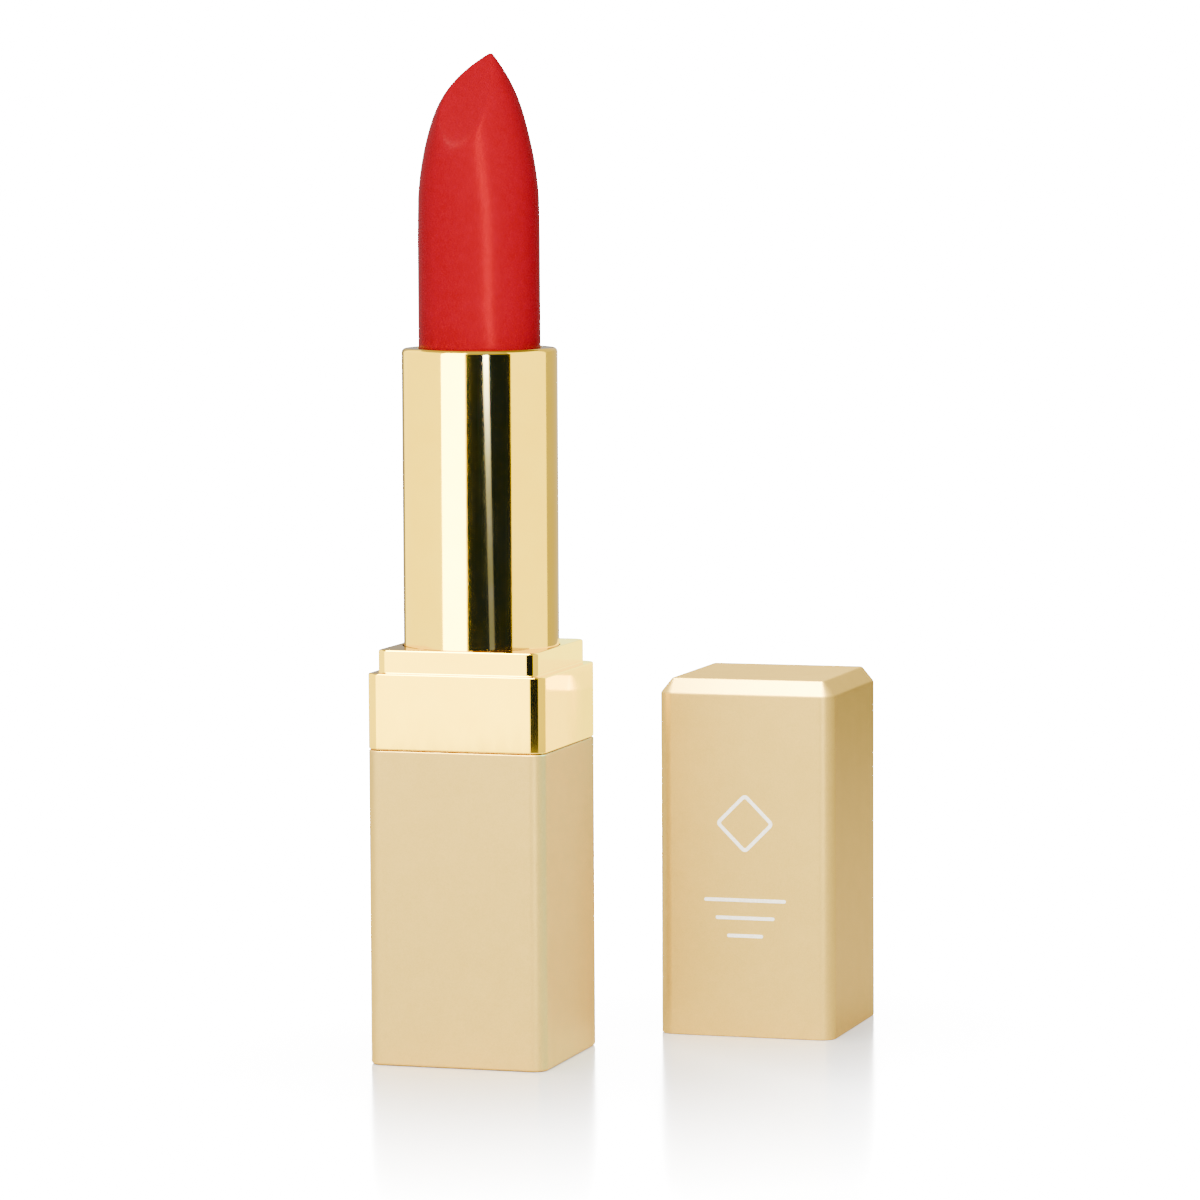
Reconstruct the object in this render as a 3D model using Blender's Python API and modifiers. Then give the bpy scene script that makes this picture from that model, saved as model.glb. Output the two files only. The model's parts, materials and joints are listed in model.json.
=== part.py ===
"""Lipstick case with a twist-up bullet, posed open with its cap standing beside it.

Lengths are in metres, +Z is up and -Y is the front. The origin is the centre of the base's
underside, on the axis that the mechanism turns about. Square pieces are cubes with rounded
upright corners. Turned pieces are profiles of (radius, height) points, listed down their outer
side, with a Screw modifier. Cuts and joins are Boolean modifiers.
"""
from math import cos, hypot, pi, radians, sin, sqrt

import bmesh
import bpy
from mathutils import Matrix, Vector

# Square case
CASE_WIDTH = 0.01835
CASE_CORNER = 0.0015
WALL = 0.0008
EDGE_ROUND = 0.00025
SIDE_GAP = 0.0001

# Levels above the base's underside
FLOOR_TOP = 0.0012
WEIGHT_TOP = 0.0083
LINER_TOP = 0.0231
PLUG_BOTTOM = 0.0123
SLEEVE_BOTTOM = 0.0239
SLEEVE_FLANGE_TOP = 0.0266
GROOVE_BOTTOM = 0.0249
GROOVE_TOP = 0.0259
GUIDE_FLOOR_BOTTOM = 0.0251
GUIDE_FLOOR_TOP = 0.0263
SKIRT_BOTTOM = 0.0270
BASE_TOP = 0.0313
BAND_BOTTOM = 0.0314
BAND_TOP = 0.0389
STEP_TOP = 0.0412
TUBE_BOTTOM = 0.0335
TUBE_TOP = 0.0707

# Weight and liner in the base
WEIGHT_WIDTH = 0.0158
WEIGHT_CORNER = 0.0010
WEIGHT_HOLE_RADIUS = 0.0022
WEIGHT_EDGE_ROUND = 0.0002
PIN_RADIUS = 0.0021
PIN_BOTTOM = 0.0020
LINER_FLOOR = 0.0012
LINER_POCKET_RADIUS = 0.0015
LINER_POCKET_PLACE = 0.0059

# Collar
STEP_WIDTH = 0.0166
STEP_CORNER = 0.0012
SKIRT_WIDTH = CASE_WIDTH - 2 * (WALL + SIDE_GAP)
SKIRT_CORNER = 0.0007
COLLAR_BORE = 0.00785
THIN_EDGE_ROUND = 0.00015

# Turned pieces, as radii
GOLD_RADIUS = 0.00773
GOLD_BORE = 0.00735
LIP_BORE = 0.0062
LIP_HEIGHT = 0.0004
RIM_ROUND = 0.0005
SLEEVE_RADIUS = 0.0073
SLEEVE_BORE = 0.00685
SLEEVE_FLANGE = 0.0081
GUIDE_RADIUS = 0.0068
GUIDE_BORE = 0.00635
GUIDE_FLANGE = 0.0076
PLUG_RADIUS = 0.00625
PLUG_BORE = 0.0049
PLUG_GROOVE_RADIUS = 0.0060
PLUG_GROOVE_HEIGHT = 0.0006
PLUG_LAND = 0.0018
PLUG_LEAD_IN = 0.0003
FLANGE_THICKNESS = 0.0006
RING_GROOVE_RADIUS = 0.0061
CUP_RADIUS = 0.00625
CUP_BORE = 0.0057
BULLET_RADIUS = 0.00605
FOOT_RADIUS = 0.0056

# Mechanism
STROKE = 0.0315
TURNS = 2
CUP_TOP = 0.0700
CUP_HEIGHT = 0.0118
CUP_FLOOR = 0.0010
LUG_RADIUS = 0.0006
LUG_REACH = 0.0072
LUG_HEIGHT = 0.0601
SLOT_HALF_WIDTH = 0.00075
HELIX_CUT_RADIUS = 0.00085
SLOT_OVERRUN = 0.0008

# Bullet: a pointed arch turned round the axis, narrower towards its point, with a slanted cut
ARCH_START = 0.08344
ARCH_RADIUS = 0.03326
ARCH_TOP = 0.09976
NARROWING = 0.00168
NARROWING_START = 0.0930
NARROWING_END = 0.0997
NARROWING_POWER = 2.65
CUT_SLANT = radians(61)
CUT_UPHILL = radians(79.4)
CUT_ON_AXIS = 0.1001

# Drag ring and label
RING_SECTION_RADIUS = 0.00032
RING_MIDDLE_RADIUS = 0.00646
RING_HEIGHT = 0.0254
LABEL_WIDTH = 0.0118
LABEL_CORNER = 0.0015
LABEL_THICKNESS = 0.00012
RECESS_MARGIN = 0.0001
RECESS_DEPTH = 0.00015

# Cap, standing mouth down
CAP_PLACE = (0.0225, 0.0257, 0.0)
CAP_HEIGHT = 0.0365
CAP_WALL = 0.00075
CAP_ROOF = 0.0017
CHAMFER_HEIGHT = 0.0015
CHAMFER_INSET = 0.0012
CAP_LINER_BOTTOM = 0.0028
CAP_LINER_ROOF = 0.0012
CAP_LINER_CORNER = 0.00065
CAP_BORE = 0.0079
CAP_BORE_LEAD_IN = 0.00015
CAP_BORE_LEAD_HEIGHT = 0.0005
CAP_POCKET_RADIUS = 0.0009
CAP_POCKET_PLACE = 0.0069
GRIP_RIB_COUNT = 8
GRIP_RIB_RADIUS = 0.00025
GRIP_RIB_PLACE = 0.00802
GRIP_RIB_BOTTOM = 0.0045
GRIP_RIB_TOP = 0.0290

# Facets, and how far cutters run past the faces they cut
CORNER_STEPS = 6
FINE_STEPS = 48
PLAIN_STEPS = 36
HOLE_STEPS = 32
POCKET_STEPS = 20
LUG_STEPS = 16
RIB_STEPS = 10
ARCH_STEPS = 16
MERGE = 0.000001
OVERLAP = 0.0010


def clear_scene():
    """Empty the scene without closing the file this runs from."""
    for thing in list(bpy.data.objects):
        bpy.data.objects.remove(thing, do_unlink=True)


def new_collection(name):
    """A collection linked to the scene."""
    collection = bpy.data.collections.new(name)
    bpy.context.scene.collection.children.link(collection)
    return collection


def new_material(name, colour, roughness, metallic=0.0):
    """A Principled material."""
    material = bpy.data.materials.new(name)
    material.use_nodes = True
    shader = material.node_tree.nodes["Principled BSDF"]
    shader.inputs["Base Color"].default_value = (*colour, 1.0)
    shader.inputs["Roughness"].default_value = roughness
    shader.inputs["Metallic"].default_value = metallic
    material.diffuse_color = (*colour, 1.0)
    return material


def place(name, data, collection):
    """An object that carries a mesh or a curve."""
    thing = bpy.data.objects.new(name, data)
    collection.objects.link(thing)
    return thing


def place_shape(name, shape, collection):
    """An object that carries the mesh of a bmesh, which is freed."""
    mesh = bpy.data.meshes.new(name)
    shape.to_mesh(mesh)
    shape.free()
    return place(name, mesh, collection)


def shade(thing, sharp_angle=radians(30)):
    """Smooth shading that keeps the real edges sharp."""
    thing.data.shade_smooth()
    thing.data.set_sharp_from_angle(angle=sharp_angle)


def finish(thing, material, parent=None):
    """Give a sub-part its material, its shading and its parent."""
    thing.data.materials.append(material)
    shade(thing)
    thing.parent = parent
    return thing


def cutter(thing, parent=None):
    """Mark an object as a guide for a Boolean."""
    thing.hide_render = True
    thing.display_type = "WIRE"
    thing.parent = parent
    return thing


def combine(thing, operation, others):
    """Boolean modifiers, one for each other object."""
    for other in others:
        modifier = thing.modifiers.new(f"{operation.lower()} {other.name}", "BOOLEAN")
        modifier.operation = operation
        modifier.object = other


def round_edges(thing, width, segments=2):
    """A Bevel on the edges sharper than those between a corner's facets."""
    modifier = thing.modifiers.new("rounded edges", "BEVEL")
    modifier.width = width
    modifier.segments = segments
    modifier.limit_method = "ANGLE"
    modifier.angle_limit = radians(30)


def block(name, width, corner, bottom, top, collection):
    """A square upright block with rounded upright corners."""
    middle = Matrix.Translation((0.0, 0.0, (bottom + top) / 2))
    size = Matrix.Diagonal((width, width, top - bottom, 1.0))
    shape = bmesh.new()
    bmesh.ops.create_cube(shape, size=1.0, matrix=middle @ size)
    uprights = [edge for edge in shape.edges if is_upright(edge)]
    bmesh.ops.bevel(
        shape, geom=uprights, offset=corner, segments=CORNER_STEPS, profile=0.5, affect="EDGES"
    )
    return place_shape(name, shape, collection)


def is_upright(edge):
    """Whether an edge runs along Z."""
    run = edge.verts[1].co - edge.verts[0].co
    return abs(run.z) > hypot(run.x, run.y)


def rod(name, radius, start, end, sides, collection):
    """A solid cylinder between two points."""
    start, end = Vector(start), Vector(end)
    turn = (end - start).to_track_quat("Z", "Y").to_matrix().to_4x4()
    shape = bmesh.new()
    bmesh.ops.create_cone(
        shape,
        cap_ends=True,
        segments=sides,
        radius1=radius,
        radius2=radius,
        depth=(end - start).length,
        matrix=Matrix.Translation((start + end) / 2) @ turn,
    )
    return place_shape(name, shape, collection)


def turned(name, profile, steps, collection):
    """A profile turned round Z. One that starts off the axis is a closed ring section."""
    corners = [(radius, 0.0, height) for radius, height in profile]
    edges = [(i, i + 1) for i in range(len(corners) - 1)]
    if profile[0][0] > 0:
        edges.append((len(corners) - 1, 0))
    mesh = bpy.data.meshes.new(name)
    mesh.from_pydata(corners, edges, [])
    thing = place(name, mesh, collection)
    modifier = thing.modifiers.new("turn", "SCREW")
    modifier.axis = "Z"
    modifier.angle = 2 * pi
    modifier.steps = steps
    modifier.render_steps = steps
    modifier.use_merge_vertices = True
    modifier.merge_threshold = MERGE
    modifier.use_smooth_shade = True
    return thing


def curve_to_solid(curve_object, collection):
    """The closed mesh of a bevelled curve with filled caps."""
    bpy.context.view_layer.update()
    evaluated = curve_object.evaluated_get(bpy.context.evaluated_depsgraph_get())
    mesh = bpy.data.meshes.new_from_object(evaluated)
    shape = bmesh.new()
    shape.from_mesh(mesh)
    bmesh.ops.remove_doubles(shape, verts=shape.verts, dist=MERGE)
    bpy.data.meshes.remove(mesh)
    solid = place_shape(f"{curve_object.name} solid", shape, collection)
    solid.matrix_world = curve_object.matrix_world
    bpy.data.objects.remove(curve_object, do_unlink=True)
    return solid


def helix_tube(name, start_angle, collection):
    """A tube along the path that a lug takes round the sleeve, a little past both its ends."""
    middle_radius = (SLEEVE_RADIUS + SLEEVE_BORE) / 2
    full_turn = 2 * pi * TURNS
    overrun = SLOT_OVERRUN / middle_radius
    steps = 48
    curve = bpy.data.curves.new(name, "CURVE")
    curve.dimensions = "3D"
    curve.bevel_depth = HELIX_CUT_RADIUS
    curve.bevel_resolution = 2
    curve.use_fill_caps = True
    spline = curve.splines.new("POLY")
    spline.points.add(steps)
    for step, point in enumerate(spline.points):
        swept = overrun - (full_turn + 2 * overrun) * step / steps
        angle = start_angle + swept
        height = LUG_HEIGHT + STROKE * swept / full_turn
        point.co = (middle_radius * cos(angle), middle_radius * sin(angle), height, 1.0)
    return curve_to_solid(place(name, curve, collection), collection)


def corner_places(distance):
    """The four diagonal places at a distance along X and Y."""
    return [(x, y) for x in (-distance, distance) for y in (-distance, distance)]


def pockets(name, radius, distance, bottom, top, collection):
    """Four upright rods at the corners, to core out a liner."""
    return [
        rod(f"{name} {i}", radius, (x, y, bottom), (x, y, top), POCKET_STEPS, collection)
        for i, (x, y) in enumerate(corner_places(distance))
    ]


def base_shell(parts, cutters, paint):
    """The square cup of the base, with a shallow recess under it for the label."""
    inside = CASE_WIDTH - 2 * WALL
    shell = block("base_shell", CASE_WIDTH, CASE_CORNER, 0.0, BASE_TOP, parts)
    round_edges(shell, EDGE_ROUND)
    over = BASE_TOP + OVERLAP
    hollow = block("base hollow", inside, CASE_CORNER - WALL, FLOOR_TOP, over, cutters)
    recess_width = LABEL_WIDTH + 2 * RECESS_MARGIN
    recess_corner = LABEL_CORNER + RECESS_MARGIN
    recess = block("label recess", recess_width, recess_corner, -OVERLAP, RECESS_DEPTH, cutters)
    combine(shell, "DIFFERENCE", [cutter(hollow), cutter(recess)])
    return finish(shell, paint)


def base_weight(parts, cutters, steel):
    """A steel block on the base's floor, with a hole for the liner's pin."""
    bottom = FLOOR_TOP + SIDE_GAP
    weight = block("base_weight", WEIGHT_WIDTH, WEIGHT_CORNER, bottom, WEIGHT_TOP, parts)
    round_edges(weight, WEIGHT_EDGE_ROUND, 1)
    through = ((0, 0, bottom - OVERLAP), (0, 0, WEIGHT_TOP + OVERLAP))
    hole = rod("weight hole", WEIGHT_HOLE_RADIUS, *through, HOLE_STEPS, cutters)
    combine(weight, "DIFFERENCE", [cutter(hole)])
    return finish(weight, steel)


def base_liner(parts, cutters, plastic):
    """The insert that holds the mechanism's plug, with a pin down through the weight."""
    bottom = WEIGHT_TOP + SIDE_GAP
    bore_bottom = bottom + LINER_FLOOR
    over = LINER_TOP + OVERLAP
    liner = block("base_liner", SKIRT_WIDTH, SKIRT_CORNER, bottom, LINER_TOP, parts)
    bore = rod("liner bore", GUIDE_BORE, (0, 0, bore_bottom), (0, 0, over), PLAIN_STEPS, cutters)
    pocket = (LINER_POCKET_RADIUS, LINER_POCKET_PLACE)
    cores = pockets("liner pocket", *pocket, bore_bottom, over, cutters)
    pin_ends = ((0, 0, PIN_BOTTOM), (0, 0, bottom + LINER_FLOOR / 2))
    pin = rod("liner pin", PIN_RADIUS, *pin_ends, HOLE_STEPS, cutters)
    combine(liner, "DIFFERENCE", [cutter(bore), *map(cutter, cores)])
    combine(liner, "UNION", [cutter(pin)])
    return finish(liner, plastic)


def plug_profile(top, bottom):
    """The outer side of the guide tube's foot, with three grooves between barbs."""
    points = [(PLUG_RADIUS, top)]
    level = top - PLUG_LAND
    for _ in range(3):
        under = level - PLUG_GROOVE_HEIGHT
        points += [(PLUG_RADIUS, level), (PLUG_GROOVE_RADIUS, level - PLUG_GROOVE_HEIGHT / 2)]
        points += [(PLUG_GROOVE_RADIUS, under), (PLUG_RADIUS, under)]
        level = under - PLUG_LAND
    return points + [(PLUG_RADIUS, bottom + PLUG_LEAD_IN), (PLUG_RADIUS - PLUG_LEAD_IN, bottom)]


def guide_tube(parts, cutters, plastic):
    """The still tube that guides the cup: two straight slots, a ring groove, a flange, a plug."""
    flange_bottom = LINER_TOP + SIDE_GAP
    flange_top = flange_bottom + FLANGE_THICKNESS
    profile = [(0.0, GUIDE_FLOOR_TOP), (GUIDE_BORE, GUIDE_FLOOR_TOP)]
    profile += [(GUIDE_BORE, CUP_TOP), (GUIDE_RADIUS, CUP_TOP), (GUIDE_RADIUS, GROOVE_TOP)]
    profile += [(RING_GROOVE_RADIUS, GROOVE_TOP), (RING_GROOVE_RADIUS, GROOVE_BOTTOM)]
    profile += [(GUIDE_RADIUS, GROOVE_BOTTOM), (GUIDE_RADIUS, flange_top)]
    profile += [(GUIDE_FLANGE, flange_top), (GUIDE_FLANGE, flange_bottom)]
    profile += plug_profile(flange_bottom, PLUG_BOTTOM)
    profile += [(PLUG_BORE, PLUG_BOTTOM), (PLUG_BORE, GUIDE_FLOOR_BOTTOM)]
    profile += [(0.0, GUIDE_FLOOR_BOTTOM)]
    tube = turned("guide_tube", profile, PLAIN_STEPS, parts)
    low = LUG_HEIGHT - STROKE - SLOT_OVERRUN
    high = LUG_HEIGHT + SLOT_OVERRUN
    slots = upright_slot("guide slots", low, high, cutters)
    combine(tube, "DIFFERENCE", [cutter(slots)])
    return finish(tube, plastic)


def upright_slot(name, bottom, top, collection):
    """A flat bar along Y that cuts both sides of the guide tube."""
    middle = Matrix.Translation((0.0, 0.0, (bottom + top) / 2))
    length = 2 * (GUIDE_RADIUS + OVERLAP)
    size = Matrix.Diagonal((2 * SLOT_HALF_WIDTH, length, top - bottom, 1.0))
    shape = bmesh.new()
    bmesh.ops.create_cube(shape, size=1.0, matrix=middle @ size)
    return place_shape(name, shape, collection)


def spiral_sleeve(parts, cutters, plastic, swivel):
    """The turning sleeve, with two helical slots that drive the cup's lugs."""
    top = CUP_TOP + SIDE_GAP
    profile = [(SLEEVE_BORE, top), (SLEEVE_RADIUS, top), (SLEEVE_RADIUS, SLEEVE_FLANGE_TOP)]
    profile += [(SLEEVE_FLANGE, SLEEVE_FLANGE_TOP), (SLEEVE_FLANGE, SLEEVE_BOTTOM)]
    profile += [(SLEEVE_BORE, SLEEVE_BOTTOM)]
    sleeve = turned("spiral_sleeve", profile, PLAIN_STEPS, parts)
    starts = [("front helix", -pi / 2), ("back helix", pi / 2)]
    helixes = [helix_tube(name, angle, cutters) for name, angle in starts]
    combine(sleeve, "DIFFERENCE", [cutter(helix, swivel) for helix in helixes])
    return finish(sleeve, plastic, swivel)


def gold_tube(parts, gold, swivel):
    """The thin metal tube over the sleeve, rolled in to a lip at the top."""
    steps = 4
    lip_bottom = TUBE_TOP - LIP_HEIGHT
    profile = [(GOLD_BORE, lip_bottom), (LIP_BORE, lip_bottom), (LIP_BORE, TUBE_TOP)]
    for step in range(steps + 1):
        angle = pi / 2 * step / steps
        radius = GOLD_RADIUS - RIM_ROUND * (1 - sin(angle))
        profile.append((radius, TUBE_TOP - RIM_ROUND * (1 - cos(angle))))
    profile += [(GOLD_RADIUS, TUBE_BOTTOM), (GOLD_BORE, TUBE_BOTTOM)]
    return finish(turned("gold_tube", profile, FINE_STEPS, parts), gold, swivel)


def collar(parts, cutters, gold):
    """The gold band and step, with a skirt down into the base and a bore for the tube."""
    band = block("collar", CASE_WIDTH, CASE_CORNER, BAND_BOTTOM, BAND_TOP, parts)
    round_edges(band, THIN_EDGE_ROUND)
    step = block("step", STEP_WIDTH, STEP_CORNER, BAND_TOP - 2 * OVERLAP, STEP_TOP, cutters)
    round_edges(step, EDGE_ROUND)
    inside_band = BAND_BOTTOM + 2 * OVERLAP
    skirt = block("skirt", SKIRT_WIDTH, SKIRT_CORNER, SKIRT_BOTTOM, inside_band, cutters)
    through = ((0, 0, SKIRT_BOTTOM - OVERLAP), (0, 0, STEP_TOP + OVERLAP))
    bore = rod("collar bore", COLLAR_BORE, *through, FINE_STEPS, cutters)
    combine(band, "UNION", [cutter(step), cutter(skirt)])
    combine(band, "DIFFERENCE", [cutter(bore)])
    return finish(band, gold)


def bullet_cup(parts, cutters, plastic, carrier):
    """The cup that carries the bullet, with a lug at the front and the back."""
    bottom = CUP_TOP - CUP_HEIGHT
    floor = bottom + CUP_FLOOR
    profile = [(0.0, floor), (CUP_BORE, floor), (CUP_BORE, CUP_TOP), (CUP_RADIUS, CUP_TOP)]
    profile += [(CUP_RADIUS, bottom), (0.0, bottom)]
    cup = turned("bullet_cup", profile, PLAIN_STEPS, parts)
    root = CUP_BORE + SIDE_GAP
    lugs = []
    for name, side in (("front lug", -1), ("back lug", 1)):
        ends = ((0, side * root, LUG_HEIGHT), (0, side * LUG_REACH, LUG_HEIGHT))
        lugs.append(rod(name, LUG_RADIUS, *ends, LUG_STEPS, cutters))
    combine(cup, "UNION", [cutter(lug, carrier) for lug in lugs])
    return finish(cup, plastic, carrier)


def arch_radius(height):
    """The bullet's radius at a height on its pointed arch."""
    rise = height - ARCH_START
    radius = BULLET_RADIUS - ARCH_RADIUS + sqrt(ARCH_RADIUS**2 - rise**2)
    share = (height - NARROWING_START) / (NARROWING_END - NARROWING_START)
    return radius - NARROWING * max(share, 0.0) ** NARROWING_POWER


def bullet(parts, cutters, wax, carrier):
    """The lipstick: a foot in the cup, a round body and a pointed arch with a slanted cut."""
    shoulder = CUP_TOP + SIDE_GAP
    foot_bottom = CUP_TOP - CUP_HEIGHT + CUP_FLOOR + SIDE_GAP
    profile = [(0.0, ARCH_TOP)]
    for step in range(ARCH_STEPS + 1):
        height = ARCH_TOP - (ARCH_TOP - ARCH_START) * step / ARCH_STEPS
        profile.append((arch_radius(height), height))
    profile += [(BULLET_RADIUS, shoulder), (FOOT_RADIUS, shoulder)]
    profile += [(FOOT_RADIUS, foot_bottom), (0.0, foot_bottom)]
    body = turned("bullet", profile, FINE_STEPS, parts)
    combine(body, "DIFFERENCE", [cutter(slanted_block("slanted cut", cutters), carrier)])
    return finish(body, wax, carrier)


def slanted_block(name, collection):
    """A cube whose lower face is the bullet's slanted cut."""
    size = 5 * BULLET_RADIUS
    normal = Vector((0.0, 0.0, cos(CUT_SLANT)))
    normal.x = -sin(CUT_SLANT) * cos(CUT_UPHILL)
    normal.y = -sin(CUT_SLANT) * sin(CUT_UPHILL)
    middle = Vector((0.0, 0.0, CUT_ON_AXIS)) + normal * size / 2
    turn = normal.to_track_quat("Z", "Y").to_matrix().to_4x4()
    shape = bmesh.new()
    bmesh.ops.create_cube(shape, size=size, matrix=Matrix.Translation(middle) @ turn)
    return place_shape(name, shape, collection)


def drag_ring(parts, rubber):
    """The small elastic ring in the guide tube's groove."""
    steps = 8
    profile = []
    for step in range(steps):
        angle = 2 * pi * step / steps
        radius = RING_MIDDLE_RADIUS + RING_SECTION_RADIUS * sin(angle)
        profile.append((radius, RING_HEIGHT + RING_SECTION_RADIUS * cos(angle)))
    return finish(turned("drag_ring", profile, PLAIN_STEPS, parts), rubber)


def shade_label(parts, paper):
    """The blank sticker in the recess under the base, level with the underside."""
    label = block("shade_label", LABEL_WIDTH, LABEL_CORNER, 0.0, LABEL_THICKNESS, parts)
    return finish(label, paper)


def cap_shell(parts, cutters, paint, stand):
    """The square cap, open at the bottom, with a sloping edge round its top."""
    side_top = CAP_HEIGHT - CHAMFER_HEIGHT
    inside = CASE_WIDTH - 2 * CAP_WALL
    shell = block("cap_shell", CASE_WIDTH, CASE_CORNER, 0.0, side_top, parts)
    raise_top(shell, CHAMFER_HEIGHT, 1 - 2 * CHAMFER_INSET / CASE_WIDTH)
    round_edges(shell, THIN_EDGE_ROUND)
    roof_bottom = CAP_HEIGHT - CAP_ROOF
    corner = CASE_CORNER - CAP_WALL
    hollow = block("cap hollow", inside, corner, -OVERLAP, roof_bottom, cutters)
    combine(shell, "DIFFERENCE", [cutter(hollow, stand)])
    return finish(shell, paint, stand)


def raise_top(thing, rise, shrink):
    """Raise the top face and draw it in, which leaves a sloping edge all round."""
    shape = bmesh.new()
    shape.from_mesh(thing.data)
    lid = max(shape.faces, key=lambda face: face.calc_center_median().z)
    moved = bmesh.ops.extrude_face_region(shape, geom=[lid])["geom"]
    corners = [item for item in moved if isinstance(item, bmesh.types.BMVert)]
    bmesh.ops.delete(shape, geom=[lid], context="FACES_ONLY")
    bmesh.ops.scale(shape, vec=(shrink, shrink, 1.0), verts=corners)
    bmesh.ops.translate(shape, vec=(0.0, 0.0, rise), verts=corners)
    bmesh.ops.recalc_face_normals(shape, faces=shape.faces)
    shape.to_mesh(thing.data)
    shape.free()


def cap_liner(parts, cutters, plastic, stand):
    """The insert in the cap: a round bore with grip ribs, cored out at its corners."""
    width = CASE_WIDTH - 2 * (CAP_WALL + SIDE_GAP)
    top = CAP_HEIGHT - CAP_ROOF - SIDE_GAP
    bore_top = top - CAP_LINER_ROOF
    under = CAP_LINER_BOTTOM - OVERLAP
    lead_top = CAP_LINER_BOTTOM + CAP_BORE_LEAD_HEIGHT
    mouth = CAP_BORE + CAP_BORE_LEAD_IN
    liner = block("cap_liner", width, CAP_LINER_CORNER, CAP_LINER_BOTTOM, top, parts)
    profile = [(0.0, bore_top), (CAP_BORE, bore_top), (CAP_BORE, lead_top)]
    profile += [(mouth, CAP_LINER_BOTTOM), (mouth, under), (0.0, under)]
    bore = turned("cap bore", profile, FINE_STEPS, cutters)
    pocket = (CAP_POCKET_RADIUS, CAP_POCKET_PLACE)
    cores = pockets("cap pocket", *pocket, under, bore_top - OVERLAP, cutters)
    combine(liner, "DIFFERENCE", [cutter(bore, stand)])
    combine(liner, "DIFFERENCE", [cutter(core, stand) for core in cores])
    combine(liner, "UNION", [cutter(rib, stand) for rib in grip_ribs(cutters)])
    return finish(liner, plastic, stand)


def grip_ribs(collection):
    """Slim upright ribs, half sunk in the cap liner's bore."""
    ribs = []
    for i in range(GRIP_RIB_COUNT):
        angle = 2 * pi * (i + 0.5) / GRIP_RIB_COUNT
        x, y = GRIP_RIB_PLACE * cos(angle), GRIP_RIB_PLACE * sin(angle)
        ends = ((x, y, GRIP_RIB_BOTTOM), (x, y, GRIP_RIB_TOP))
        ribs.append(rod(f"grip rib {i}", GRIP_RIB_RADIUS, *ends, RIB_STEPS, collection))
    return ribs


def new_empty(name, position, collection):
    """The parent of the pieces that move together, on their joint's axis."""
    empty = bpy.data.objects.new(name, None)
    empty.location = position
    empty.empty_display_size = 0.005
    collection.objects.link(empty)
    return empty


def build():
    """Model the whole case."""
    clear_scene()
    parts = new_collection("Lipstick case")
    cutters = new_collection("Cutters")
    paint = new_material("champagne paint", (0.72, 0.58, 0.38), 0.42, 0.35)
    gold = new_material("polished gold", (0.90, 0.72, 0.42), 0.10, 1.0)
    wax = new_material("red wax", (0.62, 0.012, 0.022), 0.42)
    white = new_material("natural plastic", (0.78, 0.77, 0.74), 0.40)
    ivory = new_material("ivory plastic", (0.70, 0.64, 0.54), 0.45)
    steel = new_material("steel", (0.50, 0.50, 0.52), 0.35, 1.0)
    rubber = new_material("rubber", (0.03, 0.03, 0.03), 0.80)
    paper = new_material("label paper", (0.82, 0.80, 0.76), 0.65)
    swivel = new_empty("swivel axis", (0.0, 0.0, 0.0), parts)
    carrier = new_empty("carrier axis", (0.0, 0.0, 0.0), parts)
    stand = new_empty("cap axis", CAP_PLACE, parts)
    base_shell(parts, cutters, paint)
    base_weight(parts, cutters, steel)
    base_liner(parts, cutters, ivory)
    guide_tube(parts, cutters, white)
    drag_ring(parts, rubber)
    collar(parts, cutters, gold)
    shade_label(parts, paper)
    spiral_sleeve(parts, cutters, white, swivel)
    gold_tube(parts, gold, swivel)
    bullet_cup(parts, cutters, white, carrier)
    bullet(parts, cutters, wax, carrier)
    cap_shell(parts, cutters, paint, stand)
    cap_liner(parts, cutters, ivory, stand)


build()
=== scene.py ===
import json
from math import atan2, cos, hypot, pi, radians, sin, sqrt, tan

import bmesh
import bpy
from mathutils import Matrix, Vector


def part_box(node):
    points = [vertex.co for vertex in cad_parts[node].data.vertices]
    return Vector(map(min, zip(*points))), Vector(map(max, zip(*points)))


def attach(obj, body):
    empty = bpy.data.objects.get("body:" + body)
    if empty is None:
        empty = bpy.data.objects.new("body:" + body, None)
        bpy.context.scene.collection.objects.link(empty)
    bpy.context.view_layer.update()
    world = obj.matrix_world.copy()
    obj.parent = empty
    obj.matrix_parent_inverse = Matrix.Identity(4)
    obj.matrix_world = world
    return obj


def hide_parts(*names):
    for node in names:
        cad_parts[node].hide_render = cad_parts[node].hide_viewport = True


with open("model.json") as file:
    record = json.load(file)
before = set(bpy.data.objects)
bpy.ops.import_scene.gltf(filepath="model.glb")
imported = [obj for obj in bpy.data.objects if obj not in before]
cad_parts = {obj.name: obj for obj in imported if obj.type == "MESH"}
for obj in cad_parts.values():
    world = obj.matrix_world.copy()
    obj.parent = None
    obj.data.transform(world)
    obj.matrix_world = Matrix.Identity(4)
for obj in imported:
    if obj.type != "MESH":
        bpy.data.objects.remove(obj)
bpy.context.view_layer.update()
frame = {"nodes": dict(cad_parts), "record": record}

# Places and sizes from the CAD, in metres
BASE_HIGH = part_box("base_shell")[1]
COLLAR_LOW, COLLAR_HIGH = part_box("collar")
TUBE_LOW, TUBE_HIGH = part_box("gold_tube")
BULLET_LOW, BULLET_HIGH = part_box("bullet")
CAP_LOW, CAP_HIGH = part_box("cap_shell")
LABEL_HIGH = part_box("shade_label")[1]
MOUNTS = {mount["name"]: mount for mount in frame["record"]["mounts"]}

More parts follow.
